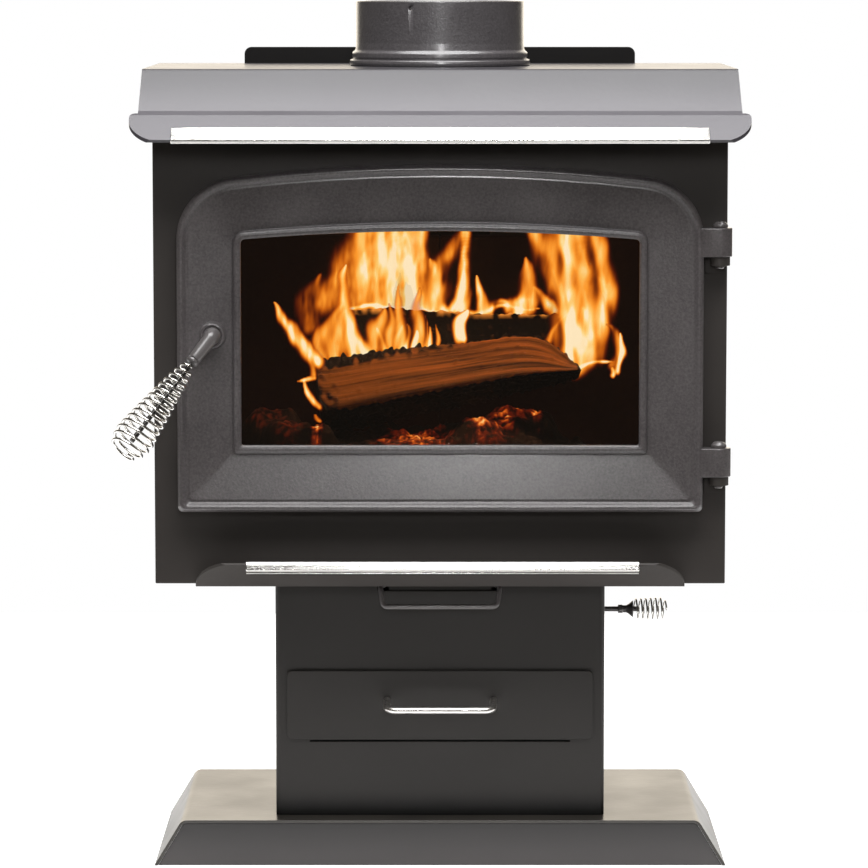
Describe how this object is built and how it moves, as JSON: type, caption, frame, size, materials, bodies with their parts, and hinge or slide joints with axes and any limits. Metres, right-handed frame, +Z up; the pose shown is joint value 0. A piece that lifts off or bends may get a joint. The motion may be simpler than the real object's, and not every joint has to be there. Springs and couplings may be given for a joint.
{
  "type": "wood burning stove",
  "caption": "Pedestal wood stove with an arched glazed cast door on side hinges, latch handle, ash drawer, ash gate, sliding air control, bent cooktop and a round top flue collar.",
  "frame": {"origin": "bottom centre of the whole box, on the floor", "axes": "+Z up; +Y from the front of the stove to its back; +X to the right seen from the front, towards the hinges"},
  "size_m": [0.592, 0.4084, 0.823],
  "materials": {
    "black_stove_paint": "matt black high-temperature paint on sheet steel",
    "grey_stove_paint": "satin high-temperature paint that mirrors the light, on sheet steel",
    "cast_iron": "sand cast, painted matt charcoal",
    "bright_nickel": "bright nickel plate",
    "firebrick": "pressed fireclay and vermiculite",
    "gasket_rope": "knitted glass-fibre rope",
    "ceramic_glass": "clear ceramic glass"
  },
  "bodies": {
    "stove": {"air_channel_left": "black_stove_paint", "air_channel_right": "black_stove_paint", "air_intake_box": "black_stove_paint", "air_riser": "black_stove_paint", "air_tube_front": "black_stove_paint", "air_tube_rear": "black_stove_paint", "air_wash_deflector": "black_stove_paint", "ash_lip": "black_stove_paint", "ash_lip_trim": "bright_nickel", "baffle_board": "firebrick", "base_front_panel": "black_stove_paint", "base_plate": "black_stove_paint", "base_rear_panel": "black_stove_paint", "cooktop": "grey_stove_paint", "cooktop_trim": "bright_nickel", "drawer_runner_left": "black_stove_paint", "drawer_runner_right": "black_stove_paint", "firebox_back": "black_stove_paint", "firebox_floor": "black_stove_paint", "firebox_front_plate": "black_stove_paint", "firebox_left_side": "black_stove_paint", "firebox_right_side": "black_stove_paint", "firebox_top": "black_stove_paint", "firebrick_left_back": "firebrick", "firebrick_left_floor": "firebrick", "firebrick_left_wall": "firebrick", "firebrick_middle_floor": "firebrick", "firebrick_right_back": "firebrick", "firebrick_right_floor": "firebrick", "firebrick_right_wall": "firebrick", "flue_collar": "cast_iron", "gate_rail_left": "black_stove_paint", "gate_rail_right": "black_stove_paint", "hinge_bracket_lower": "black_stove_paint", "hinge_bracket_upper": "black_stove_paint", "hinge_pin_lower": "black_stove_paint", "hinge_pin_upper": "black_stove_paint", "latch_catch": "black_stove_paint", "pedestal_rear_panel": "black_stove_paint", "pedestal_shell": "black_stove_paint", "rear_heat_shield": "black_stove_paint"},
    "door": {"door_frame": "cast_iron", "door_glass": "ceramic_glass", "glass_gasket": "gasket_rope", "door_gasket": "gasket_rope", "glass_retainer_lower": "black_stove_paint", "glass_retainer_upper": "black_stove_paint"},
    "handle": {"door_handle_arm": "cast_iron", "door_handle_grip": "bright_nickel", "latch_cam": "black_stove_paint", "latch_nut": "bright_nickel"},
    "drawer": {"ash_drawer_tray": "black_stove_paint", "ash_drawer_front": "black_stove_paint", "ash_drawer_handle": "bright_nickel"},
    "gate": {"ash_gate_plate": "black_stove_paint", "ash_gate_pull": "black_stove_paint"},
    "air_control": {"air_control_rod": "black_stove_paint", "air_control_ferrule": "black_stove_paint", "air_control_knob": "bright_nickel", "air_damper_plate": "black_stove_paint"}
  },
  "joints": [
    {"name": "door_hinge", "type": "hinge", "parent": "stove", "child": "door", "pos_m": [0.26912, -0.10931, 0.4921], "axis": [0, 0, 1], "range_deg": [0, 110]},
    {"name": "latch_turn", "type": "hinge", "parent": "door", "child": "handle", "pos_m": [-0.20678, -0.09731, 0.5125], "axis": [0, 1, 0], "range_deg": [0, 80]},
    {"name": "ash_drawer_slide", "type": "slide", "parent": "stove", "child": "drawer", "axis": [0, -1, 0], "range_m": [0, 0.16]},
    {"name": "ash_gate_slide", "type": "slide", "parent": "stove", "child": "gate", "axis": [0, -1, 0], "range_m": [0, 0.075]},
    {"name": "air_control_slide", "type": "slide", "parent": "stove", "child": "air_control", "axis": [1, 0, 0], "range_m": [0, 0.036]}
  ]
}
